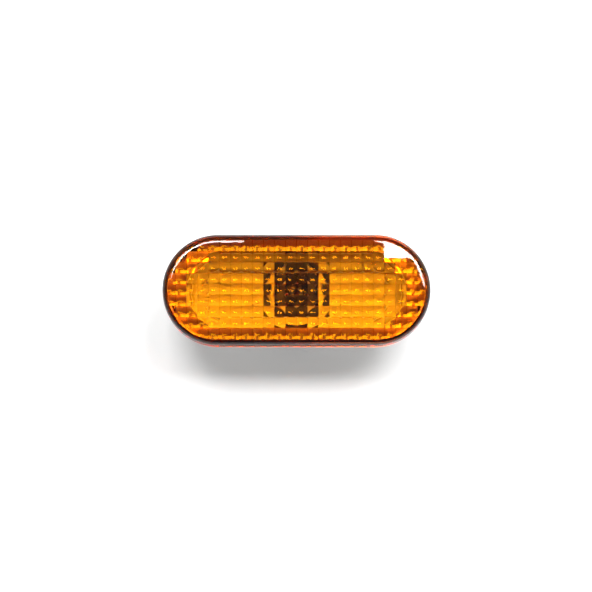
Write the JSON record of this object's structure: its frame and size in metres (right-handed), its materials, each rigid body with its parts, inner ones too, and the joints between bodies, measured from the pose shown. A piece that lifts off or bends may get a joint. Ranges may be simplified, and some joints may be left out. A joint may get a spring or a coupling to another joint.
{
  "type": "fender turn signal lamp",
  "caption": "Oval amber side turn signal lamp that clips into a fender cut-out, with pillow optics, a foam flange gasket and a twist-out wedge bulb holder with a connector socket.",
  "frame": {"origin": "centre of the plane where the flange gasket's rear face lies on the fender skin", "axes": "+Z out of the fender through the lens, +X along the lamp towards its spring clip, +Y up the fender"},
  "size_m": [0.098, 0.0406, 0.0477],
  "materials": {
    "amber_lens": "clear amber, polished outside",
    "foam": "matt closed-cell foam",
    "white_plastic": "moulded, fine satin",
    "spring_steel": "rolled stainless strip",
    "black_plastic": "moulded, satin",
    "seal_rubber": "smooth silicone",
    "contact_brass": "stamped strip",
    "bulb_glass": "clear",
    "filament_wire": "drawn tungsten",
    "lead_wire": "drawn nickel-iron"
  },
  "bodies": {
    "lamp_body": {"lens": "amber_lens", "flange_gasket": "foam", "housing": "white_plastic", "spring_clip": "spring_steel"},
    "bulb_unit": {"bulb_holder": "black_plastic", "holder_seal": "seal_rubber", "contact_left": "contact_brass", "contact_right": "contact_brass", "bulb_glass": "bulb_glass", "bulb_filament": "filament_wire", "bulb_lead_left": "lead_wire", "bulb_lead_right": "lead_wire"}
  },
  "joints": [
    {"name": "holder_turn", "type": "hinge", "parent": "lamp_body", "child": "bulb_unit", "pos_m": [0, 0.0018, -0.0202], "axis": [0, 0, -1], "range_deg": [0, 45]}
  ]
}
